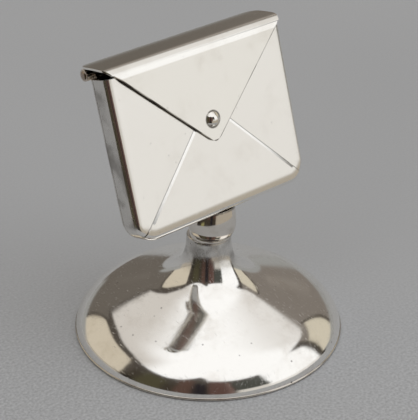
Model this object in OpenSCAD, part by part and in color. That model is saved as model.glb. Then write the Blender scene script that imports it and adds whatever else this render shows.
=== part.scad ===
// Stamp case in the form of a folded envelope, on a spun trumpet foot.
// Origin: centre of the foot, on the table. +Z is up and the front looks along -Y.
// The case is drawn lying on its back (X across, Y up the case, Z out of its front) and then stood up.

/* [Foot] */
// Outer radius of the foot, over its rim wire
foot_r = 21; // [19:0.5:25]
// Thickness of the spun sheet of the foot
foot_wall = 0.5; // [0.35:0.05:0.8]
// Height of the wire under the rim
rim_wire_h = 0.5; // [0.3:0.05:1]
// Width of the wire under the rim
rim_wire_w = 1.3; // [1:0.1:2]
// How far the wire stands out of the sheet above it
rim_lip = 0.15; // [0:0.05:0.3]
// Radius of the tight roll at the rim
rim_roll_r = 2.6; // [1.5:0.1:3.5]
// Radius of the shoulder above the rim
shoulder_r = 8; // [6:0.5:9.5]
// Slope of the brim inside the shoulder, in degrees
brim_slope = 15; // [12:1:18]
// Radius of the wide curve by which the foot starts to rise from the brim
rise_r = 20; // [17:0.5:21]
// Slope where that curve gives way to the throat, in degrees
rise_slope = 46; // [42:1:50]
// Radius of the throat that turns into the neck
throat_r = 6.5; // [5:0.5:8]
// Slope of the neck, in degrees
neck_slope = 78; // [75:0.5:80]
// Radius of the neck at its closed top
neck_r = 3.55; // [3.4:0.05:4]
// Height of the neck's top above the table
neck_h = 16.4; // [15:0.2:19]

/* [Knop] */
// Largest radius of the knop
knop_r = 3.7; // [3.4:0.1:4.5]
// Height of the largest radius above the neck
knop_belly_h = 2.1; // [1.6:0.1:2.8]
// Radius of the plain band under the knop
knop_band_r = 3.25; // [3:0.05:3.5]
// Height of that band
knop_band_h = 0.8; // [0.4:0.1:1.2]
// Curve of the knop below its belly
knop_lower_r = 2.4; // [1.8:0.1:4]
// Curve of the knop above its belly
knop_upper_r = 12; // [8:1:20]
// Forward tilt of the knop, in degrees
knop_tilt = 8; // [0:1:12]
// Forward set of the knop on the neck
knop_forward = 0.35; // [0:0.05:0.6]
// Radius of the peg that joins foot and knop
peg_r = 1; // [0.7:0.1:1.3]
// Length of the peg inside the knop
peg_in_knop = 3.2; // [2:0.1:3.6]
// Radius of the peg's riveted head
peg_head_r = 1.7; // [1.5:0.1:2.2]
// Thickness of the peg's riveted head
peg_head_h = 0.6; // [0.4:0.1:1]

/* [Case] */
// Width of the case
case_w = 33; // [28:0.5:40]
// Height of the side walls
case_h = 24.7; // [22:0.1:30]
// Depth of the case, front to back
case_d = 4.4; // [4:0.1:6]
// Thickness of the case's sheet
sheet = 0.45; // [0.35:0.05:0.6]
// Radius of the lower corners, seen from the front
corner_r = 2.8; // [2.2:0.1:4]
// Radius of the rolled front edge
front_edge_r = 1; // [0.7:0.1:1.8]
// Radius of the rolled back edge
back_edge_r = 0.6; // [0.5:0.1:1.2]
// How far the case leans back, in degrees
case_lean = 17.3; // [5:0.5:25]
// Height of the case's bottom above the neck, at mid-depth
case_rise = 5.1; // [4.8:0.1:6.5]
// How far the case's bottom stands forward of the foot's axis
case_forward = 2.45; // [1.5:0.05:3]

/* [Leaves] */
// Height where the bottom leaf comes to its point
leaf_apex = 17.1; // [15.5:0.1:20]
// How far the bottom leaf stands proud of the side leaves
leaf_step = 0.25; // [0.1:0.05:0.4]
// Width of the bevel along the bottom leaf
leaf_bevel = 0.7; // [0.4:0.1:1.2]
// Open seam between two leaves
seam_gap = 0.08; // [0.02:0.01:0.15]
// Width of the side leaf's top edge before the mouth starts to fall
mouth_shoulder = 1.9; // [1.5:0.1:3]

/* [Hinge] */
// Outer radius of the hinge tubes
knuckle_r = 0.9; // [0.8:0.05:1.2]
// Radius of the hinge pin
pin_r = 0.5; // [0.35:0.05:0.6]
// Running clearance between pin and tube
pin_clear = 0.03; // [0.02:0.01:0.08]
// Length of the lid's own tube
middle_knuckle = 10; // [6:0.5:14]
// Gap between the ends of two tubes
knuckle_gap = 0.15; // [0.1:0.05:0.3]
// Height of the hinge axis above the side walls
hinge_rise = 0.5; // [0.3:0.05:0.8]
// Metal between the back of the case and the tubes
bearer_web = 0.5; // [0.3:0.05:0.8]
// How far the bearer stands out of the back
bearer_d = 1; // [0.8:0.05:1.2]
// Height of the bearer below the hinge axis
bearer_drop = 1.5; // [1.3:0.1:2.5]
// How far the bearer stops short of each side
bearer_short = 1.3; // [0.5:0.1:4]
// Radius of the riveted heads of the pin
pin_head_r = 0.68; // [0.65:0.01:0.8]
// Thickness of the riveted heads of the pin
pin_head_h = 0.18; // [0.1:0.02:0.3]

/* [Lid] */
// Thickness of the lid's sheet
lid_t = 0.3; // [0.25:0.05:0.5]
// Air between the lid and the fixed tubes
lid_gap = 0.06; // [0.05:0.01:0.2]
// Fall of the lid's top towards the front, in degrees
lid_slope = 4; // [0:0.5:6]
// Outer radius of the fold between top and flap
fold_r = 1.8; // [1:0.1:2.2]
// Air between the case's front and the flap, at the fold
fold_gap = 0.45; // [0.4:0.05:1.5]
// Air between the case's front and the flap, at its tip
tip_gap = 0.12; // [0.08:0.01:0.2]
// Height of the flap's tip above the case's bottom
flap_tip = 11.1; // [9:0.1:13]
// Width of the blunt tip
tip_w = 1.1; // [0.6:0.1:2]
// Radius of the curve that turns each end of the lid into the edge of the flap
end_curve_r = 3.4; // [1:0.1:5]
// Radius of the lid's back corners
lid_corner_r = 2; // [0.4:0.1:2.5]

/* [Stud] */
// Radius of the stud
stud_r = 1.35; // [1:0.05:1.7]
// Height of the stud's dome
stud_h = 0.85; // [0.5:0.05:1]
// Height of the stud above the case's bottom
stud_at = 14.4; // [13:0.1:15]
// Radius of the stud's shank
shank_r = 0.45; // [0.3:0.05:0.6]
// How far the shank reaches behind the flap to catch in the leaf
catch_reach = 0.55; // [0.45:0.05:0.7]
// Air round the shank in the catch hole
catch_clear = 0.4; // [0.35:0.05:0.6]

/* [Hidden] */
$fn = 96;
silver = [0.86, 0.85, 0.82];
worn_silver = [0.74, 0.72, 0.69];
eps = 0.01;
solder_film = 0.02;
// A length past anything that it is used to cut.
reach = 2 * case_h;

// The foot's outline, from its edge to the neck: two arcs out of the rim, a straight brim, two
// arcs that turn it upright, and a straight neck. The straight lengths follow from the other sizes.
rim_start = 84;
roll_end = 50;
arc_steps = 12;
edge_r = foot_r - rim_lip;
function down(r, slope) = r * [cos(90 - slope), sin(90 - slope)];
function bulge(from, r, s0, s1) =
    [for (i = [1:arc_steps]) from - down(r, s0) + down(r, s0 + (s1 - s0) * i / arc_steps)];
function cove(from, r, s0, s1) =
    [for (i = [1:arc_steps]) from + down(r, s0) - down(r, s0 + (s1 - s0) * i / arc_steps)];
roll_top = [edge_r, rim_wire_h] - down(rim_roll_r, rim_start) + down(rim_roll_r, roll_end);
brim_out = roll_top - down(shoulder_r, roll_end) + down(shoulder_r, brim_slope);
throat_span = down(rise_r, brim_slope) - down(rise_r, rise_slope)
    + down(throat_r, rise_slope) - down(throat_r, neck_slope);
left_over = [brim_out.x + throat_span.x - neck_r, neck_h - brim_out.y - throat_span.y];
turn = sin(neck_slope - brim_slope);
brim_l = (left_over.x * sin(neck_slope) - left_over.y * cos(neck_slope)) / turn;
neck_l = (left_over.y * cos(brim_slope) - left_over.x * sin(brim_slope)) / turn;
brim_in = brim_out + brim_l * [-cos(brim_slope), sin(brim_slope)];
// The same outline moved inwards by a distance d, for the inside of the sheet.
function foot_line(d) = let(
        start = [edge_r, rim_wire_h] - down(d, rim_start),
        roll = bulge(start, rim_roll_r - d, rim_start, roll_end),
        shoulder = bulge(roll[arc_steps - 1], shoulder_r - d, roll_end, brim_slope),
        inner = brim_in - down(d, brim_slope),
        rise = cove(inner, rise_r + d, brim_slope, rise_slope),
        throat = cove(rise[arc_steps - 1], throat_r + d, rise_slope, neck_slope),
        top = throat[arc_steps - 1] + neck_l * [-cos(neck_slope), sin(neck_slope)])
    concat([start], roll, shoulder, [inner], rise, throat, [top]);
neck_in = foot_line(foot_wall)[4 * arc_steps + 2];

// The knop is turned on its own axis, which tilts forward from the top of the neck.
file_off = 1;
knop_top_h = case_rise + (knop_r + case_forward) * sin(case_lean) + file_off;
knop_steps = 16;
function knop_line(h) = h < knop_belly_h
    ? knop_r - knop_lower_r + sqrt(pow(knop_lower_r, 2) - pow(knop_belly_h - h, 2))
    : knop_r - knop_upper_r + sqrt(pow(knop_upper_r, 2) - pow(h - knop_belly_h, 2));

// Where the sheets of the case lie, measured from its mid-depth.
face = case_d / 2;
side_face = face - leaf_step;
back_wall = 0.3;
butt = -face + back_edge_r + back_wall;
seam_angle = atan2(leaf_apex, case_w / 2);
seam_l = norm([leaf_apex, case_w / 2]);
below = 2;
foot_of_seam = case_w / 2 * (leaf_apex + below) / leaf_apex;

// The hinge axis, and the bent sheet of the lid about it.
hinge_v = case_h + hinge_rise;
hinge_n = -(face + bearer_web + knuckle_r);
bore_r = pin_r + pin_clear;
lid_under = knuckle_r + lid_gap;
lid_depth = face - hinge_n + fold_gap + lid_t;
top_l = lid_depth - fold_r;
lid_back = knuckle_r + solder_film;
fold_v = hinge_v + lid_under + lid_t - lid_depth * sin(lid_slope);
flap_lean = atan2(fold_gap - tip_gap, fold_v - flap_tip);
bend = 90 - lid_slope + flap_lean;
fold_axis_v = hinge_v + (lid_under + lid_t - fold_r) * cos(lid_slope) - top_l * sin(lid_slope);
function along_flap(v) = (fold_axis_v - v) / cos(flap_lean);
flap_l = along_flap(flap_tip);
end_turn = 45;
end_curve_l = end_curve_r * sin(end_turn);
fold_w = case_w / 2 - end_curve_r * (1 - cos(end_turn));
hinge_half = case_w / 2 - pin_head_h;
knuckle_l = hinge_half - middle_knuckle / 2 - knuckle_gap;

// Stands the case up on the knop, leaning back.
module stood() {
    translate([0, -case_forward, neck_h + case_rise]) rotate([90 - case_lean, 0, 0]) children();
}

// Draws along the hinge axis a shape given as [up the case, out of the front].
module along_hinge(l) {
    translate([-l / 2, 0, 0]) rotate([90, 0, 90]) linear_extrude(l) children();
}

module at_hinge() {
    translate([0, hinge_v, hinge_n]) children();
}

module lid_place() {
    at_hinge() rotate([lid_slope, 0, 0]) children();
}

// Frame of the flap: Y points out of it, Z runs down it from the fold.
module flap_place() {
    lid_place() translate([0, lid_under + lid_t - fold_r, top_l]) rotate([bend, 0, 0]) children();
}

// Spun sheet, its edge filed level where it sits on the wire.
module foot() {
    color(silver) difference() {
        rotate_extrude() polygon(concat(
            foot_line(0),
            [[0, neck_h], [0, neck_h - foot_wall], [neck_in.x, neck_h - foot_wall]],
            [for (i = [4 * arc_steps + 1:-1:0]) foot_line(foot_wall)[i]]));
        translate([0, 0, neck_h - 2 * foot_wall]) cylinder(r = peg_r, h = 3 * foot_wall);
        cylinder(r = 2 * foot_r, h = rim_wire_h);
    }
}

module rim_wire() {
    color(worn_silver) rotate_extrude() translate([foot_r - rim_wire_w, 0]) {
        square([rim_wire_w - rim_wire_h / 2, rim_wire_h]);
        translate([rim_wire_w - rim_wire_h / 2, rim_wire_h / 2]) circle(d = rim_wire_h, $fn = 32);
    }
}

module stem_peg() {
    color(worn_silver) translate([0, 0, neck_h - foot_wall]) {
        cylinder(r = peg_r, h = foot_wall + peg_in_knop);
        translate([0, 0, -peg_head_h]) cylinder(r = peg_head_r, h = peg_head_h);
    }
}

// The knop's foot is filed level to sit on the neck, and its head to the slope of the case.
module knop() {
    color(silver) difference() {
        translate([0, -knop_forward, neck_h]) rotate([knop_tilt, 0, 0]) rotate_extrude() polygon(concat(
            [[0, -file_off], [knop_band_r, -file_off], [knop_band_r, knop_band_h]],
            [for (i = [0:knop_steps])
                let(h = knop_band_h + (knop_top_h - knop_band_h) * i / knop_steps) [knop_line(h), h]],
            [[0, knop_top_h]]));
        translate([-reach / 2, -reach / 2, neck_h - reach]) cube(reach);
        stood() translate([-reach / 2, 0, -reach / 2]) cube(reach);
        translate([0, 0, neck_h - eps]) cylinder(r = peg_r, h = peg_in_knop + eps);
    }
}

// Section through the edge of a pressed tray: wall, rolled edge and the start of the face.
module edge_section(top, low, roll) {
    translate([corner_r - sheet, low]) square([sheet, top - roll - low]);
    translate([corner_r - roll, top - roll]) intersection() {
        difference() {
            circle(r = roll);
            circle(r = roll - sheet);
        }
        square(roll);
    }
    translate([0, top - sheet]) square([corner_r - roll, sheet]);
}

module edge_run(l, top, low, roll) {
    rotate([90, 0, 0]) linear_extrude(l) edge_section(top, low, roll);
}

module half_tray(top, low, roll) {
    translate([case_w / 2 - corner_r, case_h, 0]) edge_run(case_h - corner_r, top, low, roll);
    translate([case_w / 2 - corner_r, corner_r, 0]) rotate([0, 0, -90]) {
        rotate_extrude(angle = 90) edge_section(top, low, roll);
        edge_run(case_w / 2 - corner_r, top, low, roll);
    }
    translate([0, corner_r, top - sheet]) cube([case_w / 2 - corner_r, case_h - corner_r, sheet]);
}

// A tray with one face, open at the top of the case and at the low side.
module tray(top, low, roll) {
    half_tray(top, low, roll);
    mirror([1, 0, 0]) half_tray(top, low, roll);
}

module case_back() {
    color(silver) stood() mirror([0, 0, 1]) tray(face, -butt, back_edge_r);
}

// The ground that one side leaf covers, up to the fall of the mouth.
module side_ground() {
    linear_extrude(reach, center = true) polygon([
        [seam_gap, leaf_apex],
        [foot_of_seam + seam_gap, -below],
        [case_w, -below],
        [case_w, reach],
        [case_w / 2 - mouth_shoulder, reach],
        [case_w / 2 - mouth_shoulder, case_h]]);
}

module side_leaf() {
    color(silver) stood() intersection() {
        tray(side_face, butt, front_edge_r);
        side_ground();
    }
}

module right_leaf() {
    side_leaf();
}

module left_leaf() {
    mirror([1, 0, 0]) side_leaf();
}

// Takes the bevel off the right-hand edge of the bottom leaf.
module bevel_cut() {
    translate([0, leaf_apex, side_face]) rotate([0, 0, -seam_angle])
        rotate([-atan2(leaf_step, leaf_bevel), 0, 0])
            translate([-seam_l, -3 * leaf_bevel, 0]) cube([3 * seam_l, 6 * leaf_bevel, reach]);
}

module bottom_leaf() {
    color(silver) stood() difference() {
        intersection() {
            tray(face, butt, front_edge_r);
            linear_extrude(reach, center = true)
                polygon([[0, leaf_apex], [-foot_of_seam, -below], [foot_of_seam, -below]]);
        }
        bevel_cut();
        mirror([1, 0, 0]) bevel_cut();
        translate([0, stud_at, 0]) cylinder(r = shank_r + catch_clear, h = case_d);
    }
}

// The bearer is soldered to the back, with a groove that takes the tubes.
module hinge_bearer() {
    color(worn_silver) stood() difference() {
        translate([-case_w / 2 + bearer_short, hinge_v - bearer_drop, -face - bearer_d])
            cube([case_w - 2 * bearer_short, bearer_drop, bearer_d]);
        at_hinge() along_hinge(case_w) circle(r = knuckle_r + solder_film);
        at_hinge() along_hinge(middle_knuckle + 2 * knuckle_gap) circle(r = knuckle_r + lid_gap);
    }
}

module tube(l) {
    along_hinge(l) difference() {
        circle(r = knuckle_r);
        circle(r = bore_r);
    }
}

module fixed_knuckle() {
    color(silver) stood() at_hinge() translate([hinge_half - knuckle_l / 2, 0, 0]) tube(knuckle_l);
}

module right_knuckle() {
    fixed_knuckle();
}

module left_knuckle() {
    mirror([1, 0, 0]) fixed_knuckle();
}

module hinge_pin() {
    color(worn_silver) stood() at_hinge() {
        along_hinge(2 * hinge_half) circle(r = pin_r);
        for (s = [-1, 1])
            translate([s * (hinge_half + pin_head_h / 2), 0, 0]) along_hinge(pin_head_h) circle(r = pin_head_r);
    }
}

// The lid's own tube, with the seat that joins it to the sheet above.
module lid_knuckle() {
    color(silver) stood() lid_place() along_hinge(middle_knuckle) difference() {
        union() {
            circle(r = knuckle_r);
            translate([0, -knuckle_r / 2]) square([lid_under, knuckle_r]);
        }
        circle(r = bore_r);
    }
}

// The lid's sheet seen from the end: top, fold and flap.
module lid_section() {
    translate([lid_under, -lid_back]) square([lid_t, lid_back + top_l + eps]);
    translate([lid_under + lid_t - fold_r, top_l]) {
        intersection() {
            difference() {
                circle(r = fold_r);
                circle(r = fold_r - lid_t);
            }
            polygon([[0, 0], [reach, 0], 2 * reach * [cos(bend / 2), sin(bend / 2)],
                reach * [cos(bend), sin(bend)]]);
        }
        rotate(bend) translate([fold_r - lid_t, -eps]) square([lid_t, flap_l + eps]);
    }
}

// Outline of the lid from the front: full width above the fold, the pointed flap below it.
module flap_outline() {
    polygon([
        [-case_w, reach],
        [-case_w, hinge_v],
        [-fold_w, hinge_v],
        [-tip_w / 2, flap_tip],
        [tip_w / 2, flap_tip],
        [fold_w, hinge_v],
        [case_w, hinge_v],
        [case_w, reach]]);
}

// Outline of the lid from above: its ends curve in towards the fold, its back corners are rounded.
module top_outline() {
    back = hinge_n - lid_back;
    front = hinge_n + lid_depth;
    half = case_w / 2;
    for (s = [-1, 1])
        translate([s * (half - lid_corner_r), back + lid_corner_r]) circle(r = lid_corner_r);
    translate([-half + lid_corner_r, back - lid_t]) square([2 * (half - lid_corner_r), lid_corner_r + lid_t]);
    end_curve = [for (i = [0:arc_steps])
        [half - end_curve_r, front - end_curve_l]
            + end_curve_r * [cos(end_turn * i / arc_steps), sin(end_turn * i / arc_steps)]];
    polygon(concat(
        [[-half, back + lid_corner_r], [half, back + lid_corner_r]],
        end_curve,
        [[fold_w, front + lid_t], [-fold_w, front + lid_t]],
        [for (i = [arc_steps:-1:0]) [-end_curve[i].x, end_curve[i].y]]));
}

module lid() {
    color(silver) stood() difference() {
        intersection() {
            lid_place() along_hinge(reach) lid_section();
            linear_extrude(reach, center = true) flap_outline();
            rotate([-90, 0, 0]) mirror([0, 1, 0]) linear_extrude(reach) top_outline();
        }
        flap_place() translate([0, 0, along_flap(stud_at)]) rotate([-90, 0, 0])
            cylinder(r = shank_r, h = reach);
    }
}

// Domed stud, riveted through the flap; the end of its shank catches in the bottom leaf.
module seal_stud() {
    dome_r = (pow(stud_r, 2) + pow(stud_h, 2)) / (2 * stud_h);
    color(silver) stood() flap_place() translate([0, fold_r, along_flap(stud_at)]) rotate([-90, 0, 0]) {
        intersection() {
            translate([0, 0, stud_h - dome_r]) sphere(r = dome_r);
            cylinder(r = stud_r + eps, h = stud_h);
        }
        translate([0, 0, -lid_t - catch_reach]) cylinder(r = shank_r, h = lid_t + catch_reach + stud_h / 2);
    }
}

foot();
rim_wire();
stem_peg();
knop();
case_back();
left_leaf();
right_leaf();
bottom_leaf();
hinge_bearer();
left_knuckle();
right_knuckle();
hinge_pin();
lid();
lid_knuckle();
seal_stud();
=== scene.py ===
"""Looks of the stamp case: a silver envelope with a hinged flap, on a spun trumpet foot.

Pieces are drawn in millimetres and put in metres when they are settled in their place.
"""

import math

import bmesh
import bpy
from mathutils import Matrix, Vector


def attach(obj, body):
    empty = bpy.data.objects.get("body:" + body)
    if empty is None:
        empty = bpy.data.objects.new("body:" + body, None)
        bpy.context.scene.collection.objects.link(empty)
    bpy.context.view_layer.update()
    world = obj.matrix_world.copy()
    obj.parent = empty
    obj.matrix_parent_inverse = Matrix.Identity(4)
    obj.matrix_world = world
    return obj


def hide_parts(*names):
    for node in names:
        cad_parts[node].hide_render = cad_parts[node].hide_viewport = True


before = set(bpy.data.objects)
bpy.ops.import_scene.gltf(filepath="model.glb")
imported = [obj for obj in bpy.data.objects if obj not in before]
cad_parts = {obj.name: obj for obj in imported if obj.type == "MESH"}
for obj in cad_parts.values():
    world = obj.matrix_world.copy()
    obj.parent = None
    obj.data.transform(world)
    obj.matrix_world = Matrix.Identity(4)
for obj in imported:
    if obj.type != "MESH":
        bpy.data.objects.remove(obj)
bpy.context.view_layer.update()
scene = bpy.context.scene


# The room: a white cloth overhead, white and cream boards at the sides, a grey wall with dark
# borders behind, and the dark on the camera's side. The silver shows all of it.

class Field:
    """A value that changes from place to place. Sums on it add Math nodes."""

    def __init__(self, recipe, socket):
        self.recipe, self.socket = recipe, socket

    def math(self, kind, *others):
        return self.recipe.node("ShaderNodeMath", {"operation": kind}, self, *others)

    def port(self, name):
        return Field(self.recipe, self.socket.node.outputs[name])

    def rise(self, low, high):
        """0 below low, 1 above high, and a soft step between."""
        soft = {"interpolation_type": "SMOOTHSTEP"}
        return self.recipe.node("ShaderNodeMapRange", soft, self, low, high, 0.0, 1.0)

    def within(self, low, high, soft):
        """1 between low and high, and 0 past them, with soft steps."""
        return self.rise(low - soft, low + soft) * (1 - self.rise(high - soft, high + soft))

    def __add__(self, other):
        return self.math("ADD", other)

    def __sub__(self, other):
        return self.math("SUBTRACT", other)

    def __rsub__(self, other):
        return self.recipe.node("ShaderNodeMath", {"operation": "SUBTRACT"}, other, self)

    def __mul__(self, other):
        return self.math("MULTIPLY", other)

    def __truediv__(self, other):
        return self.math("DIVIDE", other)

    __radd__ = __add__
    __rmul__ = __mul__


class Recipe:
    """A node tree written as calls: a node's type, its settings, then the values or links of its sockets."""

    def __init__(self, tree):
        self.tree = tree

    def node(self, kind, settings=None, *values, out=0, **named):
        made = self.tree.nodes.new(kind)
        for key, value in (settings or {}).items():
            if key == "stops":
                ramp = made.color_ramp.elements
                ramp.remove(ramp[1])
                ramp[0].position, ramp[0].color = value[0]
                for place, colour in value[1:]:
                    ramp.new(place).color = colour
            else:
                setattr(made, key, value)
        sockets = list(zip(made.inputs, values)) + [(made.inputs[key], value) for key, value in named.items()]
        for socket, value in sockets:
            if isinstance(value, Field):
                self.tree.links.new(value.socket, socket)
            elif value is not None:
                socket.default_value = value
        return Field(self, made.outputs[out] if len(made.outputs) else None)

    def mix(self, share, a, b):
        """Colour a where share is 0, and colour b where it is 1."""
        return self.node("ShaderNodeMix", {"data_type": "RGBA"}, share, *[None] * 5, a, b, out=2)


def seen(red, green, blue):
    """A colour as it looks on a screen, from 0 to 255."""
    return (*[((c / 255 + 0.055) / 1.055) ** 2.4 if c > 10 else c / 3295 for c in (red, green, blue)], 1.0)


CAMERA_TURN, CAMERA_RISE, CAMERA_ROLL = 41.03, 29.73, 0.47
world = bpy.data.worlds.new("room")
world.use_nodes = True
scene.world = world
world.node_tree.nodes.clear()
room = Recipe(world.node_tree)
way = room.node("ShaderNodeSeparateXYZ", None, room.node("ShaderNodeTexCoord", out="Generated"))
bearing = way.port("X").math("ARCTAN2", 0 - way.port("Y")) * (180 / math.pi)
bearing = (bearing + (360 + CAMERA_TURN)).math("MODULO", 360.0)
height = way.port("Z").math("ARCSINE") * (180 / math.pi)


def board(light, colour, soft, corners):
    """Hangs a board in the room. Its corners run clockwise: degrees turned to the camera's right, and up."""
    share = None
    for (a0, e0), (a1, e1) in zip(corners, corners[1:] + corners[:1]):
        length = math.hypot(a1 - a0, e1 - e0)
        inward = ((height - e0) * (a0 - a1) + (bearing - a0) * (e1 - e0)) / length
        edge = inward.rise(-soft, soft)
        share = edge if share is None else share * edge
    return room.mix(share, light, colour)


def upright(left, right, low, high):
    """Corners of a board that stands square."""
    return (left, low), (left, high), (right, high), (right, low)


def hem(*points):
    """The height of an edge that runs round the room through points, in degrees turned and up."""
    stops = [(turned / 360, (up / 90, up / 90, up / 90, 1)) for turned, up in points]
    return room.node("ShaderNodeValToRGB", {"stops": stops}, bearing / 360) * 90


CAMERA_SIDE = (
    (seen(42, 38, 33), 4, upright(286, 298, -60, 12)),
    (seen(74, 70, 53), 4, upright(300, 322, -10, 42)),
    (seen(140, 136, 96), 2, ((306, -26), (306, -19), (321, -17), (321, -26))),
    (seen(86, 67, 59), 3, upright(333, 347, -12, 50)),
    (seen(38, 35, 38), 3, upright(348, 359, -60, 45)),
    (seen(92, 70, 64), 3, upright(1, 17, -12, 50)),
    (seen(116, 94, 88), 2, upright(17, 21, -12, 46)),
    (seen(74, 75, 70), 3, upright(23, 52, 10, 44)))
GREY_WALL = (
    (seen(125, 118, 111), 1.5, upright(112, 226, -60, 62)),
    (seen(103, 97, 90), 7, upright(180, 232, -60, 62)))
BORDER = seen(74, 68, 62)
BORDERS = (
    (BORDER, 1.2, ((196, 29), (196, 35), (222, 41), (222, 34))),
    (BORDER, 1.2, ((148, 39), (148, 46), (200, 40), (200, 31))),
    (BORDER, 1.2, upright(222, 290, 5, 62)),
    (BORDER, 1.5, ((100, -60), (104, 60), (144, 60), (141.5, 35), (112, 27), (109, -60))),
    (BORDER, 0.8, ((132, 5), (138, 40), (141, 40), (135, 5))))
CREAM_BOARDS = (
    (seen(204, 196, 178), 1.0, ((107, 5), (113, 32), (138, 38), (132, 5))),
    (seen(200, 190, 172), 1.2, ((225, 5), (225, 32), (230, 35), (250, 40), (267, 43), (277, 43), (281, 38),
                                (285, 22), (286, 5))))
LIT_WALL = ((seen(158, 151, 143), 6, ((158, 18), (158, 37), (198, 36), (198, 18))),)
FLOOR = seen(150, 150, 148)
FLOORS = (
    (FLOOR, 2, upright(110, 172, -80, 6)),
    (FLOOR, 2, upright(164, 206, -80, -4)),
    (FLOOR, 2, upright(202, 243, -80, 6)),
    (seen(174, 166, 154), 4, ((238, -80), (240, 5), (285, 5), (284, -80))),
    (seen(208, 204, 197), 4, ((22, -60), (24, 12), (60, 12), (60, -60))),
    (seen(172, 164, 151), 4, upright(14, 112, -80, -6)))
WHITE_BOARDS = (
    (seen(231, 229, 225), 3, ((49, -8), (52, 11), (101, 11), (103, -8))),
    (seen(255, 255, 255), 2, ((51, 8), (52, 48), (76, 47.5), (97, 46), (106, 37), (101, 6))))

light = room.mix(height.rise(30, 50), seen(62, 56, 48), seen(74, 69, 63))
BEHIND = GREY_WALL + BORDERS + CREAM_BOARDS + LIT_WALL
for colour, soft, corners in CAMERA_SIDE + BEHIND + FLOORS + WHITE_BOARDS:
    light = board(light, colour, soft, corners)
shaded = bearing.within(108, 295, 14) * 0.6 + bearing.within(205, 295, 14) * 0.4
cloth = room.mix(shaded * (1 - height.rise(52, 76)), seen(255, 255, 255), seen(205, 200, 194))
edge = hem((0, 50), (30, 47), (50, 45.5), (77, 46), (100, 45), (110, 43), (120, 40.7), (132, 41.5),
           (140, 43.3), (152, 43), (190, 37), (211, 34), (220, 39), (233, 44), (250, 46.7), (267, 49),
           (283, 48), (300, 46), (320, 45.7), (333, 48), (345, 53), (352, 56), (357, 54), (360, 50))
light = room.mix((height - edge).rise(-1.2, 1.2), light, cloth)
backdrop = room.node("ShaderNodeBackground", None, seen(176, 175, 173), 1.0)
lit = room.node("ShaderNodeBackground", None, light, 1.0)
to_camera = room.node("ShaderNodeLightPath", out="Is Camera Ray")
room.node("ShaderNodeOutputWorld", None, room.node("ShaderNodeMixShader", None, to_camera, lit, backdrop))


# The table: pale grey paper, whose fibres are seen near the camera. The silver shows it close by in
# front and a long way behind, and past that the room, from which the farther paper is kept out.

def make_finish(name):
    """A new material and its recipe."""
    finish = bpy.data.materials.new(name)
    finish.use_nodes = True
    finish.node_tree.nodes.clear()
    return finish, Recipe(finish.node_tree)


TO_FRONT = (-0.66, -0.75, 0)
paper, steps = make_finish("pale_paper")
place = steps.node("ShaderNodeTexCoord", out="Object")
grain = steps.node("ShaderNodeTexNoise", None, Vector=place, Scale=2300.0, Detail=4.0)
cloud = steps.node("ShaderNodeTexNoise", None, Vector=place, Scale=9.0, Detail=1.0)
to_front = steps.node("ShaderNodeVectorMath", {"operation": "DOT_PRODUCT"}, place, TO_FRONT, out="Value")
fibres = (grain - 0.5) * (to_front.rise(-0.03, 0.03) * 2.2 + 0.3)
tone = steps.mix(fibres + cloud * 0.4 + 0.3, seen(175, 177, 180), seen(209, 211, 214))
steps.node("ShaderNodeOutputMaterial", None, steps.node(
    "ShaderNodeBsdfPrincipled", None, **{"Base Color": tone, "Roughness": 0.9, "Specular IOR Level": 0.2}))

SIDES, NEAR, MIRRORED, FAR = 96, 0.05, 0.26, 2.5
BEHIND_FROM, BEHIND_TO = 109, 283
turns = [math.tau * (k + 0.5) / SIDES for k in range(SIDES)]


def mirrored_to(turn):
    """How far the paper shows in the silver: a long way behind the piece, and only close by in front."""
    bearing = (math.degrees(math.atan2(math.cos(turn), -math.sin(turn))) + CAMERA_TURN) % 360
    return MIRRORED if BEHIND_FROM < bearing < BEHIND_TO else NEAR


near = [(mirrored_to(a) * math.cos(a), mirrored_to(a) * math.sin(a), 0) for a in turns]
far = [(FAR * math.cos(a), FAR * math.sin(a), 0) for a in turns]
strips = [(k, (k + 1) % SIDES, (k + 1) % SIDES + SIDES, k + SIDES) for k in range(SIDES)]
for name, points, faces in (("table", near, [range(SIDES)]), ("table_beyond", far + near, strips)):
    mesh = bpy.data.meshes.new(name)
    mesh.from_pydata(points, [], faces)
    mesh.materials.append(paper)
    table = bpy.data.objects.new(name, mesh)
    scene.collection.objects.link(table)
    table.visible_glossy = name == "table"


# The camera: it looks at the middle of the piece from the left of its front and from above, through
# a long lens, and it is turned a little about its own axis.

SENSOR_W, FOCAL, PICTURE_W = 36.0, 1496, 418
AIM_H, CAMERA_AWAY = 0.02035, 0.2272
camera = bpy.data.objects.new("camera", bpy.data.cameras.new("camera"))
scene.collection.objects.link(camera)
scene.camera = camera
camera.data.sensor_fit = "HORIZONTAL"
camera.data.sensor_width = SENSOR_W
camera.data.lens = SENSOR_W * FOCAL / PICTURE_W
camera.data.clip_start, camera.data.clip_end = 0.01, 10
turned, raised, rolled = (math.radians(a) for a in (CAMERA_TURN, CAMERA_RISE, CAMERA_ROLL))
back = Vector((-math.sin(turned) * math.cos(raised), -math.cos(turned) * math.cos(raised), math.sin(raised)))
level = Vector((math.cos(turned), -math.sin(turned), 0))
overhead = back.cross(level)
across = level * math.cos(rolled) + overhead * math.sin(rolled)
upward = overhead * math.cos(rolled) - level * math.sin(rolled)
camera.matrix_world = Matrix.Translation(Vector((0, 0, AIM_H)) + back * CAMERA_AWAY) @ Matrix(
    (across, upward, back)).transposed().to_4x4()
scene.view_settings.view_transform = "Standard"


# Foot: one sheet of silver spun to an ogee, with a rolled edge, a shoulder, a sloping brim and a
# throat that runs up into the neck. It is polished, with hairlines from years of rubbing.

TARNISH = (0.66, 0.61, 0.55)
# Dark colour of pits and soiling. It is also laid on as painted shade on the lid, the neck and the left wall.
DIRT_AND_SHADE = seen(58, 48, 41)


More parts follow.
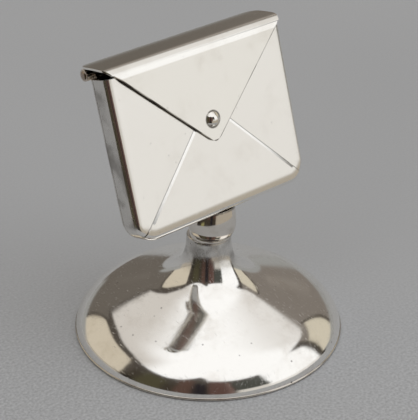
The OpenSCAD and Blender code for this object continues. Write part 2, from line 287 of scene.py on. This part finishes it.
def patchy(steps, place, scale, low, high):
    """Comes and goes from place to place."""
    return steps.node("ShaderNodeTexNoise", None, Vector=place, Scale=scale, Detail=3.0).rise(low, high)


def silver(name, tint, rough, hair, stain, pits, dirt_and_shade=None):
    """Silver that has been polished by hand: soft waves, hairlines, a brown bloom, small pits, and an extra
    dark mask given by the piece, for old solder, soiling and painted shade.
    """
    finish, steps = make_finish(name)
    place = steps.node("ShaderNodeTexCoord", out="Object")

    def noise(vector, scale, detail, **more):
        return steps.node("ShaderNodeTexNoise", None, Vector=vector, Scale=scale, Detail=detail, **more)

    def strokes(turn, stretch):
        return noise(steps.node("ShaderNodeMapping", None, place, Rotation=turn, Scale=stretch), 1.0, 2.0)

    lines = strokes((0, 0, 0), (9000.0, 700.0, 1500.0))
    crossed = strokes((0.4, 0.9, 1.1), (800.0, 11000.0, 2600.0))
    scuff = lines.rise(0.60, 0.74) * 0.6 + crossed.rise(0.62, 0.76) * 0.5
    cells = steps.node("ShaderNodeTexVoronoi", {"feature": "F1"}, Vector=place, Scale=620.0)
    rare = noise(place, 330.0, 0.0)
    grime_and_shade = (1 - cells.rise(0.05, 0.13)) * rare.rise(0.56, 0.62) * pits
    # The piece's extra mask adds soiling and painted shade to the pits.
    if dirt_and_shade:
        grime_and_shade = grime_and_shade.math("MAXIMUM", dirt_and_shade(steps, place))
    brown = noise(place, 190.0, 4.0, Roughness=0.6).rise(0.50, 0.78) * stain
    colour = steps.mix(brown, tint, (*[t * share for t, share in zip(tint, TARNISH)], 1))
    colour = steps.mix(grime_and_shade, colour, DIRT_AND_SHADE)
    roughness = rough + scuff * hair * 0.22 + brown * 0.10 + grime_and_shade * 0.35
    wave = noise(place, 120.0, 1.0)
    relief = wave * 0.5 + scuff * hair * 0.018 - grime_and_shade * 0.10
    bump = steps.node("ShaderNodeBump", None, Strength=0.35, Distance=0.00012, Height=relief)
    steps.node("ShaderNodeOutputMaterial", None, steps.node(
        "ShaderNodeBsdfPrincipled", None,
        **{"Base Color": colour, "Metallic": 1.0, "Roughness": roughness, "Normal": bump}))
    return finish


def spin_tree():
    """Turns a line on the lathe: the line's points go round the Z axis in even steps."""
    tree = bpy.data.node_groups.new("turned_piece", "GeometryNodeTree")
    for name, kind in (("Line", "Geometry"), ("Steps", "Int"), ("Join", "Float"), ("Finish", "Material")):
        tree.interface.new_socket(name, in_out="INPUT", socket_type="NodeSocket" + kind)
    tree.interface.new_socket("Piece", in_out="OUTPUT", socket_type="NodeSocketGeometry")
    lathe = Recipe(tree)
    line = lathe.node("NodeGroupInput")
    count = lathe.node("GeometryNodeAttributeDomainSize", None, line)
    turns = line.port("Steps") + 1
    sheet = lathe.node("GeometryNodeMeshGrid", None, 1.0, 1.0, count, turns)
    number = lathe.node("GeometryNodeInputIndex")
    point = (number / turns).math("FLOOR")
    angle = (number - point * turns) / line.port("Steps") * math.tau
    spot = lathe.node("GeometryNodeSampleIndex", {"data_type": "FLOAT_VECTOR"}, line,
                      lathe.node("GeometryNodeInputPosition"), point)
    spot = lathe.node("ShaderNodeSeparateXYZ", None, spot)
    ring = lathe.node("ShaderNodeCombineXYZ", None, spot * angle.math("COSINE"), spot * angle.math("SINE"),
                      spot.port("Z"))
    turned = lathe.node("GeometryNodeSetPosition", None, sheet, Position=ring)
    turned = lathe.node("GeometryNodeMergeByDistance", None, turned, Distance=line.port("Join"))
    turned = lathe.node("GeometryNodeRealizeInstances", None, turned)
    turned = lathe.node("GeometryNodeSetMaterial", None, turned, Material=line.port("Finish"))
    lathe.node("NodeGroupOutput", None, turned)
    return tree


LATHE, JOIN = spin_tree(), 0.0008
TO_METRES = Matrix.Scale(0.001, 4)


def bench(name, mesh):
    """Puts a mesh on the bench as a new piece."""
    piece = bpy.data.objects.new(name, mesh)
    scene.collection.objects.link(piece)
    return piece


def turned_piece(name, line, finish, turns=128):
    """Spins a closed line of (radius, height) points into a piece."""
    mesh = bpy.data.meshes.new(name)
    mesh.from_pydata([(r, 0, z) for r, z in line + line[:1]], [], [])
    piece = bench(name, mesh)
    spin = piece.modifiers.new("lathe", "NODES")
    spin.node_group = LATHE
    for key, value in (("Steps", turns), ("Join", JOIN), ("Finish", finish)):
        spin[LATHE.interface.items_tree[key].identifier] = value
    plain(piece)
    return piece


def plain(piece):
    """Makes the piece's modifiers into plain mesh, with its faces looking outwards."""
    graph = bpy.context.evaluated_depsgraph_get()
    mesh = bpy.data.meshes.new_from_object(piece.evaluated_get(graph))
    piece.modifiers.clear()
    piece.data = mesh
    made = bmesh.new()
    made.from_mesh(mesh)
    bmesh.ops.recalc_face_normals(made, faces=made.faces)
    made.to_mesh(mesh)
    made.free()


def settle(piece, where, finish, nodes, body="stand", crease=32):
    """Puts the piece in its place on the body that carries it, instead of its plain solids."""
    if piece.modifiers:
        plain(piece)
    piece.data.transform(TO_METRES @ where)
    piece.data.shade_smooth()
    piece.data.set_sharp_from_angle(angle=math.radians(crease))
    piece.data.materials.clear()
    piece.data.materials.append(finish)
    piece.data.name = piece.name
    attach(piece, body)
    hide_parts(*nodes)
    return piece


FOOT_R, WALL, WIRE_H, LIP = 21.0, 0.5, 0.5, 0.15
NECK_R, NECK_H = 3.4, 16.4
LIP_SLOPE, SHOULDER_SLOPE, BRIM_SLOPE, THROAT_SLOPE, NECK_SLOPE = 84, 52, 20, 43, 86
ARCS = ((3.0, LIP_SLOPE, SHOULDER_SLOPE), (10.0, SHOULDER_SLOPE, BRIM_SLOPE),
        (-11.0, BRIM_SLOPE, THROAT_SLOPE), (-7.0, THROAT_SLOPE, NECK_SLOPE))
BRIM_AFTER, ARC_STEPS, STRAIGHT_STEPS = 2, 28, 6
FILED_EDGE = ((0.02, 0.08), (0.12, 0.0))


def on_slope(radius, slope):
    """From an arc's centre to its point with that slope, in degrees."""
    return Vector((radius * math.sin(math.radians(slope)), radius * math.cos(math.radians(slope))))


def uphill(slope):
    """One step up a straight length with that slope."""
    return Vector((-math.cos(math.radians(slope)), math.sin(math.radians(slope))))


def foot_line(inset):
    """Half section of the foot, from its edge to the neck's top, moved inwards by inset."""
    left = Vector((NECK_R, NECK_H)) - Vector((FOOT_R - LIP, WIRE_H))
    for radius, low, high in ARCS:
        left -= on_slope(radius, high) - on_slope(radius, low)
    brim_way, neck_way = uphill(BRIM_SLOPE), uphill(NECK_SLOPE)
    brim = left.cross(neck_way) / brim_way.cross(neck_way)
    neck = left.cross(brim_way) / neck_way.cross(brim_way)
    line = [Vector((FOOT_R - LIP, WIRE_H)) - on_slope(inset, LIP_SLOPE)]
    for number, (radius, low, high) in enumerate(ARCS):
        if number == BRIM_AFTER:
            line += [line[-1] + brim_way * brim * k / STRAIGHT_STEPS for k in range(1, STRAIGHT_STEPS + 1)]
        centre = line[-1] - on_slope(radius - inset, low)
        line += [centre + on_slope(radius - inset, low + (high - low) * k / ARC_STEPS)
                 for k in range(1, ARC_STEPS + 1)]
    line += [line[-1] + neck_way * neck * k / STRAIGHT_STEPS for k in range(1, STRAIGHT_STEPS + 1)]
    return [(p.x, p.y) for p in line]


outside = foot_line(0)
inside = [p for p in foot_line(WALL) if p[1] > WIRE_H]
inside[-1] = (inside[-1][0], NECK_H - WALL)
outline = outside[:-1] + [(NECK_R - inwards, NECK_H - down) for inwards, down in FILED_EDGE]
outline += [(0, NECK_H), (0, NECK_H - WALL)] + inside[::-1] + [(inside[0][0], WIRE_H)]


def neck_bloom_and_shade(steps, place):
    """A brown bloom on the neck, under the knop, where the polishing cloth doesn't reach; it is also painted
    shade, darkening the neck for the shaded floor it reflects under the case.
    """
    high = steps.node("ShaderNodeSeparateXYZ", None, place, out="Z") * 1000
    # Tarnish and painted shade: the neck darkens to brown just under the knop.
    return high.rise(10.8, 13.2) * (0.2 + 0.3 * patchy(steps, place, 420.0, 0.4, 0.7))


# The foot's silver carries the neck's brown bloom and painted shade.
foot_silver = silver("foot_silver", seen(252, 250, 246), rough=0.09, hair=1.6, stain=0.35, pits=0.6,
                     dirt_and_shade=neck_bloom_and_shade)
settle(turned_piece("foot", outline, foot_silver, turns=192), Matrix(), foot_silver, ["foot"])


# Rim wire: drawn wire, bent to a ring and soldered under the edge of the foot. The foot stands
# on it, so its underside is rubbed and the join above it is soiled.

WIRE_W, WIRE_SOFT, WIRE_STEPS = 1.3, 0.04, 14
round_r = WIRE_H / 2
round_at, inner = FOOT_R - round_r, FOOT_R - WIRE_W
wire = [(inner, WIRE_SOFT), (inner + WIRE_SOFT, 0), (round_at, 0)]
wire += [(round_at + round_r * math.sin(a), round_r - round_r * math.cos(a))
         for a in (math.pi * k / WIRE_STEPS for k in range(1, WIRE_STEPS))]
wire += [(round_at, WIRE_H), (inner + WIRE_SOFT, WIRE_H), (inner, WIRE_H - WIRE_SOFT)]
wire_silver = silver("wire_silver", seen(214, 208, 199), rough=0.16, hair=1.0, stain=0.9, pits=1.0)
settle(turned_piece("rim_wire", wire, wire_silver, turns=192), Matrix(), wire_silver, ["rim_wire"])


# Knop: turned from the solid, filed level where it sits on the neck and to the slope of the case
# above, and soldered to both. A peg inside it is riveted under the neck's top.

CASE_LEAN, CASE_RISE, CASE_FORWARD = 17.3, 5.1, 2.45
STOOD = Matrix.Translation((0, -CASE_FORWARD, NECK_H + CASE_RISE)) @ Matrix.Rotation(
    math.radians(90 - CASE_LEAN), 4, "X")
BLANK_LOW, BLANK_HIGH, BAND_R, BAND_H, GROOVE_H = -1.0, 8.06, 3.25, 0.62, 0.86
BELLY_R, BELLY_H, LOWER_R, UPPER_R, BELLY_STEPS = 3.7, 2.1, 2.4, 12, 36
KNOP_LEAN, KNOP_FORWARD = 8, 0.35
PEG_R, PEG_HEAD_R, PEG_H = 1.0, 1.7, 3.2


def knop_line():
    """Section of the knop: a plain band, a groove, then the belly, drawing in towards the top."""
    line = [(0, BLANK_LOW), (BAND_R - 0.03, BLANK_LOW), (BAND_R, BAND_H)]
    line += [(BAND_R - 0.05, BAND_H + 0.14), (BAND_R - 0.13, BAND_H + 0.2)]
    for k in range(BELLY_STEPS + 1):
        h = GROOVE_H + (BLANK_HIGH - GROOVE_H) * k / BELLY_STEPS
        curve = LOWER_R if h < BELLY_H else UPPER_R
        line.append((BELLY_R - curve + math.sqrt(curve ** 2 - (h - BELLY_H) ** 2), h))
    return line + [(0, line[-1][1])]


def in_case(steps, place, way):
    """How far the place lies along one direction of the case, in millimetres."""
    way = (STOOD.to_3x3() @ Vector(way)).normalized()
    run = steps.node("ShaderNodeVectorMath", {"operation": "DOT_PRODUCT"}, place, way, out="Value")
    return run * 1000 - STOOD.translation.dot(way)


def knop_dirt(steps, place):
    """Old solder and soiling in the knop's two joints and in the groove over its band."""
    above_neck = steps.node("ShaderNodeSeparateXYZ", None, place, out="Z") * 1000 - NECK_H
    joints = above_neck.within(-0.2, 0.12, 0.05) + in_case(steps, place, (0, 1, 0)).within(-0.3, 0.3, 0.1)
    groove = above_neck.within(0.74, 1.02, 0.08) * patchy(steps, place, 500.0, 0.42, 0.55)
    return joints * patchy(steps, place, 900.0, 0.35, 0.5) * 0.6 + groove


knop_silver = silver("knop_silver", seen(240, 235, 228), rough=0.07, hair=1.0, stain=1.2, pits=1.3,
                     dirt_and_shade=knop_dirt)
knop = turned_piece("knop", knop_line(), knop_silver)
on_neck = Matrix.Translation((0, -KNOP_FORWARD, NECK_H)) @ Matrix.Rotation(math.radians(KNOP_LEAN), 4, "X")
knop.data.transform(on_neck)
made = bmesh.new()
made.from_mesh(knop.data)
level_cut = (Vector((0, 0, NECK_H)), Vector((0, 0, -1)))
case_cut = (STOOD @ Vector((0, 0, 0)), STOOD.to_3x3() @ Vector((0, 1, 0)))
for point, normal in (level_cut, case_cut):
    cut = bmesh.ops.bisect_plane(made, geom=made.verts[:] + made.edges[:] + made.faces[:], plane_co=point,
                                 plane_no=normal, clear_outer=True)
    bmesh.ops.edgeloop_fill(made, edges=[e for e in cut["geom_cut"] if isinstance(e, bmesh.types.BMEdge)])
made.to_mesh(knop.data)
made.free()
settle(knop, Matrix(), knop_silver, ["knop"])

peg = [(0, -1.1), (1.3, -1.1), (1.6, -1.0), (PEG_HEAD_R, -0.8), (PEG_HEAD_R, -WALL), (PEG_R, -WALL),
       (PEG_R, PEG_H), (0, PEG_H)]
peg = [(r, NECK_H + h) for r, h in peg]
peg_silver = silver("peg_silver", seen(190, 182, 172), rough=0.3, hair=1.0, stain=1.0, pits=1.0)
stem_peg = turned_piece("stem_peg", peg, peg_silver, turns=48)
settle(stem_peg, Matrix(), peg_silver, ["stem_peg"])


# Case: trays pressed from thin sheet with rolled edges. The back is one tray, and the front is
# three leaves of an envelope, the bottom one lying over the other two with a bevelled edge.

CASE_W, CASE_H, CASE_D, SHEET, CORNER = 33.0, 24.7, 4.4, 0.45, 3.5
FRONT_EDGE, BACK_EDGE, BACK_WALL = 1.0, 0.6, 0.3
SEAM = CASE_D / 2 - BACK_EDGE - BACK_WALL
EASE_R, EASE_TURN, FLAT_RING = 6.0, 12, 0.3
ROLL_STEPS, EASE_STEPS = 14, 6
LEAF_APEX, LEAF_STEP, LEAF_GAP, BEVEL_W = 17.1, 0.12, 0.08, 0.4
MOUTH_SHOULDER = 1.9
STUD_V, CATCH_R = 14.4, 0.85
BACK_SOFT, LEAF_SOFT, SHEET_CREASE, ON_EDGE = 0.06, 0.05, 12, 1e-3


def tray_path(inset):
    """The case's outline from its top right round the bottom to its top left, moved inwards."""
    half, r, cx = CASE_W / 2 - inset, CORNER - inset, CASE_W / 2 - CORNER
    side_steps, corner_steps, bottom_steps = 12, 20, 10
    right = [(half, CASE_H - (CASE_H - CORNER) * k / side_steps) for k in range(side_steps)]
    right += [(cx + r * math.cos(a), CORNER - r * math.sin(a))
              for a in (math.pi / 2 * k / corner_steps for k in range(corner_steps + 1))]
    right += [(cx * (1 - k / bottom_steps), inset) for k in range(1, bottom_steps)]
    return right + [(0.0, inset)] + [(-u, v) for u, v in reversed(right)]


def tray(top, low, roll, flip=1):
    """Outer skin of a tray whose face lies at top: wall, rolled edge, eased margin and face. A flip of -1
    turns it over."""
    made = bmesh.new()
    turn = math.radians(90 - EASE_TURN)
    start = top - roll * math.sin(turn) - EASE_R * (1 - math.sin(turn))
    section = [(0, low), (0, (low + start) / 2)]
    section += [(roll * (1 - math.cos(a)), start + roll * math.sin(a))
                for a in (turn * k / ROLL_STEPS for k in range(ROLL_STEPS + 1))]
    rolled = section[-1][0]
    section += [(rolled + EASE_R * (math.cos(turn) - math.cos(a)), top - EASE_R * (1 - math.sin(a)))
                for a in (math.pi / 2 - math.radians(EASE_TURN) * (1 - k / EASE_STEPS)
                          for k in range(1, EASE_STEPS + 1))]
    section.append((section[-1][0] + FLAT_RING, top))
    rows = [[made.verts.new((u, v, flip * n)) for u, v in tray_path(inset)] for inset, n in section]
    for lower, upper in zip(rows, rows[1:]):
        for a, b, c, d in zip(lower, lower[1:], upper[1:], upper):
            made.faces.new((a, b, c, d))
    made.faces.new(rows[-1])
    for face in made.faces:
        face.normal_update()
    bmesh.ops.recalc_face_normals(made, faces=made.faces)
    face = max(made.faces, key=lambda f: f.calc_area())
    if face.normal.z * flip < 0:
        bmesh.ops.reverse_faces(made, faces=made.faces)
    return made


def trim(made, point, normal, keep=False):
    """Cuts the skin along a plane and takes away what lies past it, unless keep."""
    bmesh.ops.bisect_plane(made, geom=made.verts[:] + made.edges[:] + made.faces[:], dist=1e-5,
                           plane_co=Vector(point), plane_no=Vector(normal), clear_outer=not keep)


def sheet_piece(name, made, thickness, soften):
    """Gives a skin its thickness, inwards, and takes the sharpness off its edges."""
    mesh = bpy.data.meshes.new(name)
    made.to_mesh(mesh)
    made.free()
    piece = bench(name, mesh)
    wall = piece.modifiers.new("thickness", "SOLIDIFY")
    wall.thickness, wall.offset, wall.use_even_offset = thickness, -1, True
    if soften:
        edge = piece.modifiers.new("edges", "BEVEL")
        edge.width, edge.segments = soften, 2
        edge.limit_method, edge.angle_limit = "ANGLE", math.radians(40)
    return piece


def seam_dirt_and_wall_shade(steps, place):
    """Dirt in the seam where the leaves meet the back tray, and painted shade on the left wall: a brown
    darkening that stands in for the shaded floor it reflects.
    """
    across, out = in_case(steps, place, (1, 0, 0)), in_case(steps, place, (0, 0, 1))
    seam = out.within(-SEAM - 0.2, -SEAM + 0.2, 0.2) * patchy(steps, place, 500.0, 0.35, 0.7) * 0.55
    # Painted shade: the left wall is darkened brown for the darker, shaded floor that it reflects.
    wall = (0 - across).rise(CASE_W / 2 - 0.35, CASE_W / 2 - 0.02)
    return seam.math("MAXIMUM", wall * (0.22 + 0.34 * patchy(steps, place, 260.0, 0.42, 0.68)))


def off_bottom_leaf(side):
    """The direction that leads squarely out over the bottom leaf's left or right edge."""
    return Vector((side * LEAF_APEX, CASE_W / 2, 0)).normalized()


# The case's silver carries the seam's soiling and painted shade on the left wall.
case_silver = silver("case_silver", seen(250, 248, 244), rough=0.15, hair=0.7, stain=0.12, pits=0.12,
                     dirt_and_shade=seam_dirt_and_wall_shade)
back_tray = sheet_piece("case_back", tray(CASE_D / 2, SEAM, BACK_EDGE, flip=-1), SHEET, BACK_SOFT)
settle(back_tray, STOOD, case_silver, ["case_back"], crease=SHEET_CREASE)

for side, name in ((1, "right_leaf"), (-1, "left_leaf")):
    leaf = tray(CASE_D / 2 - LEAF_STEP, -SEAM, FRONT_EDGE)
    apex = (side * LEAF_GAP, LEAF_APEX, 0)
    trim(leaf, apex, Vector((side * -LEAF_APEX, -CASE_W / 2, 0)).normalized())
    mouth = Vector((side * (CASE_W / 2 - MOUTH_SHOULDER - LEAF_GAP), CASE_H - LEAF_APEX, 0))
    trim(leaf, apex, Vector((-side * mouth.y, side * mouth.x, 0)).normalized())
    settle(sheet_piece(name, leaf, SHEET, LEAF_SOFT), STOOD, case_silver, [name], crease=SHEET_CREASE)

leaf = tray(CASE_D / 2, -SEAM, FRONT_EDGE)
apex = Vector((0, LEAF_APEX, 0))
for side in (1, -1):
    trim(leaf, apex, off_bottom_leaf(side))
    trim(leaf, apex - off_bottom_leaf(side) * BEVEL_W, off_bottom_leaf(side), keep=True)
for face in leaf.faces:
    face.normal_update()
for vert in leaf.verts:
    vert.normal_update()
lowered = {vert: vert.normal.copy() for vert in leaf.verts
           if any(abs((vert.co - apex).dot(off_bottom_leaf(side))) < ON_EDGE for side in (1, -1))}
for vert, normal in lowered.items():
    vert.co -= normal * LEAF_STEP
bottom_leaf = sheet_piece("bottom_leaf", leaf, SHEET, 0)
punch_line = [(0, -CASE_D), (CATCH_R, -CASE_D), (CATCH_R, CASE_D), (0, CASE_D)]
punch = turned_piece("punch", punch_line, case_silver, turns=48)
punch.data.transform(Matrix.Translation((0, STUD_V, CASE_D / 2)))
hole = bottom_leaf.modifiers.new("catch", "BOOLEAN")
hole.object, hole.solver, hole.operation = punch, "EXACT", "DIFFERENCE"
plain(bottom_leaf)
bpy.data.objects.remove(punch)
settle(bottom_leaf, STOOD, case_silver, ["bottom_leaf"], crease=SHEET_CREASE)


# Hinge: three tubes on one pin with riveted ends. The two outer ones lie in a grooved bearer on
# the back of the case, and the middle one is soldered under the lid.

TUBE_R, BORE_R, TUBE_SOFT, BEARER_T, HINGE_RISE = 0.9, 0.53, 0.06, 0.5, 0.5
TUBE_INSET, MIDDLE, TUBE_GAP, TUBE_RINGS, PIN_RINGS = 0.18, 10.0, 0.15, 8, 10
PIN_R = 0.5
RIVET_HEAD = ((0, 0.18), (0.3, 0.17), (0.52, 0.12), (0.66, 0.04), (0.68, 0), (PIN_R, -0.01))
HINGE_V, HINGE_N = CASE_H + HINGE_RISE, -(CASE_D / 2 + BEARER_T + TUBE_R)
AT_HINGE = STOOD @ Matrix.Translation((0, HINGE_V, HINGE_N)) @ Matrix.Rotation(math.radians(90), 4, "Y")
tube_end = CASE_W / 2 - TUBE_INSET
hinge_silver = silver("hinge_silver", seen(214, 204, 192), rough=0.14, hair=1.0, stain=1.0, pits=2.0)


def tube(name, start, end, body):
    """A length of hinge tube with softly broken ends."""
    line = [(BORE_R, start), (TUBE_R - TUBE_SOFT, start), (TUBE_R, start + TUBE_SOFT)]
    line += [(TUBE_R, start + (end - start) * k / TUBE_RINGS) for k in range(1, TUBE_RINGS)]
    line += [(TUBE_R, end - TUBE_SOFT), (TUBE_R - TUBE_SOFT, end), (BORE_R, end)]
    return settle(turned_piece(name, line, hinge_silver, turns=48), AT_HINGE, hinge_silver, [name], body=body)


tube("right_knuckle", MIDDLE / 2 + TUBE_GAP, tube_end, "stand")
tube("left_knuckle", -tube_end, -MIDDLE / 2 - TUBE_GAP, "stand")

head = [(r, -tube_end - past) for r, past in RIVET_HEAD]
pin = head + [(PIN_R, tube_end * k / PIN_RINGS) for k in range(1 - PIN_RINGS, PIN_RINGS)]
pin += [(r, -z) for r, z in reversed(head)]
pin_silver = silver("pin_silver", seen(176, 162, 150), rough=0.22, hair=1.0, stain=1.0, pits=2.0)
hinge_pin = turned_piece("hinge_pin", pin, pin_silver, turns=32)
settle(hinge_pin, AT_HINGE, pin_silver, ["hinge_pin"])

bearer_silver = silver("bearer_silver", seen(200, 192, 181), rough=0.22, hair=1.0, stain=0.9, pits=1.0)
for name, finish in (("hinge_bearer", bearer_silver), ("lid_knuckle", hinge_silver)):
    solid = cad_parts[name]
    solid.data.materials.clear()
    solid.data.materials.append(finish)


# Lid: one sheet, bent over the mouth of the case. Its top is a little bowed, and its flap comes
# down the front to a blunt point, like the flap of an envelope.

LID_T, LID_UNDER, LID_SLOPE, FOLD_R = 0.3, 0.96, 4.0, 1.8
LID_BACK, LID_CORNER, LID_SOFT = 0.92, 2.0, 0.1
BOW = math.radians(5)
FLAP_TIP, TIP_W, TIP_R, TIP_ROUND = 11.1, 1.1, 0.45, 0.62
FOLD_GAP, TIP_GAP = 0.45, 0.12
END_R, END_TURN = 3.4, math.radians(45)
FOLD_W = CASE_W / 2 - END_R * (1 - math.cos(END_TURN))
LID_DEPTH = CASE_D / 2 - HINGE_N + FOLD_GAP + LID_T
TOP_L = LID_DEPTH - FOLD_R
FOLD_V = HINGE_V + LID_UNDER + LID_T - LID_DEPTH * math.sin(math.radians(LID_SLOPE))
FLAP_LEAN = math.degrees(math.atan2(FOLD_GAP - TIP_GAP, FOLD_V - FLAP_TIP))
BEND = math.radians(90 - LID_SLOPE + FLAP_LEAN)
SLOPED = Matrix.Translation((0, HINGE_V, HINGE_N)) @ Matrix.Rotation(math.radians(LID_SLOPE), 4, "X")
FOLD_AXIS = Vector((LID_UNDER + LID_T - FOLD_R, TOP_L))
fold_axis_v = (SLOPED @ Vector((0, FOLD_AXIS.x, FOLD_AXIS.y))).y


def along_flap(v):
    """How far down the flap the place lies that is v up the case."""
    return (fold_axis_v - v) / math.cos(math.radians(FLAP_LEAN))


def half_width(v, n):
    """Half the lid's width where its sheet lies at v up the case and n out of its front."""
    half, front, rear = CASE_W / 2, HINGE_N + LID_DEPTH, HINGE_N - LID_BACK
    width = half
    if n < rear + LID_CORNER:
        width += math.sqrt(max(0.0, LID_CORNER ** 2 - (rear + LID_CORNER - n) ** 2)) - LID_CORNER
    curve = n - (front - END_R * math.sin(END_TURN))
    if curve > 0:
        width = half - END_R + math.sqrt(END_R ** 2 - min(curve, END_R * math.sin(END_TURN)) ** 2)
    if v < HINGE_V:
        share = (v - FLAP_TIP) / (HINGE_V - FLAP_TIP)
        width = min(width, TIP_W / 2 + (FOLD_W - TIP_W / 2) * share)
    tip = (v - FLAP_TIP) / TIP_R
    if tip < 1:
        width *= math.sqrt(max(0.0, 1 - (1 - tip) ** 2)) * TIP_ROUND + 1 - TIP_ROUND
    return width


def lid_rows():
    """Points of the lid's outer face, seen from its end, from the back edge to the flap's tip."""
    corner_steps, top_steps, fold_steps, flap_steps, tip_steps = 10, 16, 20, 40, 8
    top, front = LID_UNDER + LID_T, TOP_L + FOLD_R * math.sin(BOW)
    length = front + LID_BACK
    run = [LID_CORNER * (1 - math.cos(math.pi / 2 * k / corner_steps)) for k in range(corner_steps)]
    run += [LID_CORNER + (length - LID_CORNER) * k / top_steps for k in range(top_steps)]
    rows = [Vector((top + BOW * x * (1 - x / length), x - LID_BACK)) for x in run]
    rows += [FOLD_AXIS + FOLD_R * Vector((math.cos(a), math.sin(a)))
             for a in (BOW + (BEND - BOW) * k / fold_steps for k in range(fold_steps))]
    start = FOLD_AXIS + FOLD_R * Vector((math.cos(BEND), math.sin(BEND)))
    way = Vector((-math.sin(BEND), math.cos(BEND)))
    straight = along_flap(FLAP_TIP) - TIP_R
    rows += [start + way * straight * k / flap_steps for k in range(flap_steps)]
    return rows + [start + way * (straight + TIP_R * math.sin(math.pi / 2 * k / tip_steps))
                   for k in range(tip_steps + 1)]


COLUMNS = 80
made = bmesh.new()
grid = []
for up, out in lid_rows():
    spot = SLOPED @ Vector((0, up, out))
    width = half_width(spot.y, spot.z)
    grid.append([made.verts.new((width * math.sin(math.pi / 2 * (2 * k / COLUMNS - 1)), spot.y, spot.z))
                 for k in range(COLUMNS + 1)])
for upper, lower in zip(grid, grid[1:]):
    for a, b, c, d in zip(upper, upper[1:], lower[1:], lower):
        made.faces.new((a, d, c, b))

STUD_R, STUD_H = 1.17, 0.8
ON_FLAP = STOOD @ SLOPED @ Matrix.Translation((0, FOLD_AXIS.x, FOLD_AXIS.y)) @ Matrix.Rotation(BEND, 4, "X")
AT_STUD = ON_FLAP @ Matrix.Translation((0, FOLD_R, along_flap(STUD_V))) @ Matrix.Rotation(
    math.radians(-90), 4, "X")


def lid_painted_shade(steps, place):
    """Painted shade: a dark ring round the stud, for the shadow at its foot, and a thin brown line on the
    flap's edges and round its tip, for the shaded gap under them.
    """
    centre = AT_STUD.translation * 0.001
    away = steps.node("ShaderNodeVectorMath", {"operation": "DISTANCE"}, place, centre, out="Value") * 1000
    # Painted shadow: a dark ring on the flap round the foot of the stud.
    ring = away.within(0.9, STUD_R + 0.2, 0.1) * patchy(steps, place, 700.0, 0.2, 0.5) * 0.8
    across, up = in_case(steps, place, (1, 0, 0)), in_case(steps, place, (0, 1, 0))
    widening = (FOLD_W - TIP_W / 2) / (HINGE_V - FLAP_TIP)
    beyond = across.math("ABSOLUTE") - (up - FLAP_TIP) * widening - TIP_W / 2
    # Painted shade: a thin dark line just inside the flap's edges and tip, for the shaded gap under them.
    edge = beyond.rise(-0.2, -0.08).math("MAXIMUM", 1 - up.rise(FLAP_TIP + 0.05, FLAP_TIP + 0.2))
    edge = edge * (1 - up.rise(FOLD_V - 2, FOLD_V - 1))
    return ring.math("MAXIMUM", edge * (0.5 + 0.45 * patchy(steps, place, 420.0, 0.35, 0.65)))


# The lid's silver carries painted shade round the stud and along the flap's edges.
lid_silver = silver("lid_silver", seen(250, 248, 243), rough=0.13, hair=0.8, stain=0.2, pits=0.15,
                    dirt_and_shade=lid_painted_shade)
settle(sheet_piece("lid", made, LID_T, LID_SOFT), STOOD, lid_silver, ["lid"], body="lid")


# Stud: a small dome like the seal of an envelope, riveted through the flap. The end of its shank
# catches in a hole in the bottom leaf.

SHANK_R, SHANK_REACH, SHANK_SOFT, DOME_STEPS = 0.45, 0.5, 0.05, 18
dome_r = (STUD_R ** 2 + STUD_H ** 2) / (2 * STUD_H)
dome_turn = math.asin(STUD_R / dome_r)
stud_line = [(dome_r * math.sin(a), STUD_H - dome_r * (1 - math.cos(a)))
             for a in (dome_turn * k / DOME_STEPS for k in range(DOME_STEPS + 1))]
shank_end = -LID_T - SHANK_REACH
stud_line += [(STUD_R - 0.05, -0.02), (SHANK_R, -0.02), (SHANK_R, shank_end),
              (SHANK_R - SHANK_SOFT, shank_end - SHANK_SOFT), (0, shank_end - SHANK_SOFT)]
stud_silver = silver("stud_silver", seen(246, 243, 237), rough=0.05, hair=0.5, stain=0.3, pits=0.8)
stud = turned_piece("seal_stud", stud_line, stud_silver, turns=64)
settle(stud, AT_STUD, stud_silver, ["seal_stud"], body="lid")
